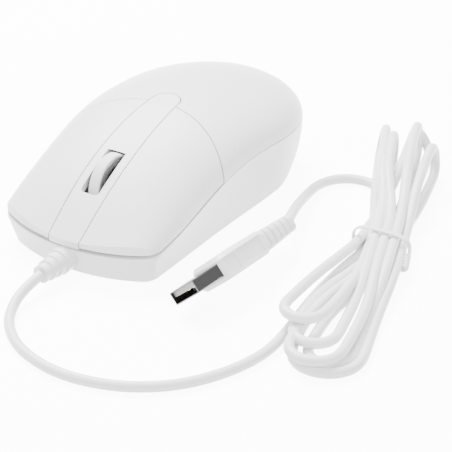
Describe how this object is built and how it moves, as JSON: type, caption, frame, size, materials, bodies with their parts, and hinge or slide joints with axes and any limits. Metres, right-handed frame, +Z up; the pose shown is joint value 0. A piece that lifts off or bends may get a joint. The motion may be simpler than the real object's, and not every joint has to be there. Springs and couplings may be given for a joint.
{
  "type": "computer mouse",
  "caption": "Corded optical mouse with hinged buttons over micro switches, a pressable scroll wheel, board and sensor, tied cord and USB plug.",
  "frame": {"origin": "on the desk under the middle of the case, cord and plug left out", "axes": "+Z up, -Y towards the nose where the cord leaves, +X to the right button's side"},
  "size_m": [0.1421, 0.1894, 0.0378],
  "materials": {
    "white_case": "fine matte moulded texture",
    "wheel_rubber": "soft satin white rubber",
    "smoked_clear": "clear grey moulded plastic",
    "natural_plastic": "unpainted moulding",
    "spring_steel": "plain steel",
    "black_plastic": "black moulding",
    "board_green": "lacquered laminate",
    "plunger_plastic": "coloured moulding",
    "clear_plastic": "clear moulded plastic",
    "lamp_red": "tinted epoxy",
    "resistor_body": "lacquered body",
    "wire_insulation": "vinyl insulation",
    "foot_film": "slick low-friction film",
    "cord_vinyl": "satin white vinyl",
    "tie_vinyl": "satin white vinyl over wire",
    "plug_metal": "nickel-plated sheet",
    "plug_insulator": "white insulator",
    "contact_gold": "gold-flashed contacts"
  },
  "bodies": {
    "case": {"bottom_shell": "white_case", "cable_socket": "natural_plastic", "cable_wires": "wire_insulation", "capacitors": "black_plastic", "case_screw": "spring_steel", "centre_spine": "white_case", "circuit_board": "board_green", "cord_hank": "cord_vinyl", "cord_lead": "cord_vinyl", "cord_tail": "cord_vinyl", "cord_tie": "tie_vinyl", "cradle_spring": "spring_steel", "crystal": "spring_steel", "glide_feet": "foot_film", "illumination_led": "lamp_red", "led_clip": "black_plastic", "left_switch": "black_plastic", "palm_cover": "white_case", "resistors": "resistor_body", "right_switch": "black_plastic", "sensor_chip": "black_plastic", "sensor_lens": "clear_plastic", "strain_relief": "cord_vinyl", "usb_contacts": "contact_gold", "usb_grip": "cord_vinyl", "usb_shell": "plug_metal", "usb_tongue": "plug_insulator", "wheel_emitter": "black_plastic", "wheel_receiver": "black_plastic", "wheel_switch": "black_plastic"},
    "left_key": {"left_button": "white_case"},
    "right_key": {"right_button": "white_case"},
    "cradle": {"wheel_cradle": "natural_plastic"},
    "wheel": {"wheel_tyre": "wheel_rubber", "wheel_hub": "smoked_clear"},
    "left_pin": {"left_plunger": "plunger_plastic"},
    "right_pin": {"right_plunger": "plunger_plastic"},
    "wheel_pin": {"wheel_plunger": "plunger_plastic"}
  },
  "joints": [
    {"name": "left_click", "type": "hinge", "parent": "case", "child": "left_key", "pos_m": [0, -0.008, 0.03], "axis": [1, 0, 0], "range_deg": [0, 0.8], "stiffness_Nm_per_rad": 2, "springref_deg": -0.23},
    {"name": "right_click", "type": "hinge", "parent": "case", "child": "right_key", "pos_m": [0, -0.008, 0.03], "axis": [1, 0, 0], "range_deg": [0, 0.8], "stiffness_Nm_per_rad": 2, "springref_deg": -0.23},
    {"name": "wheel_press", "type": "slide", "parent": "case", "child": "cradle", "axis": [0, 0, -1], "range_m": [0, 0.0006], "stiffness_N_per_m": 1200, "springref_m": -0.0003, "deforming": ["cradle_spring"]},
    {"name": "wheel_spin", "type": "hinge", "parent": "cradle", "child": "wheel", "pos_m": [0, -0.033, 0.0205], "axis": [1, 0, 0], "continuous": true},
    {"name": "left_plunge", "type": "slide", "parent": "case", "child": "left_pin", "axis": [0, 0, -1], "range_m": [0, 0.00056]},
    {"name": "right_plunge", "type": "slide", "parent": "case", "child": "right_pin", "axis": [0, 0, -1], "range_m": [0, 0.00056]},
    {"name": "wheel_plunge", "type": "slide", "parent": "case", "child": "wheel_pin", "axis": [0, 0, -1], "range_m": [0, 0.00062]}
  ],
  "couplings": [
    {"joint": "left_plunge", "follows": "left_click", "m_per_rad": 0.038},
    {"joint": "right_plunge", "follows": "right_click", "m_per_rad": 0.038},
    {"joint": "wheel_plunge", "follows": "wheel_press", "ratio": 1}
  ]
}
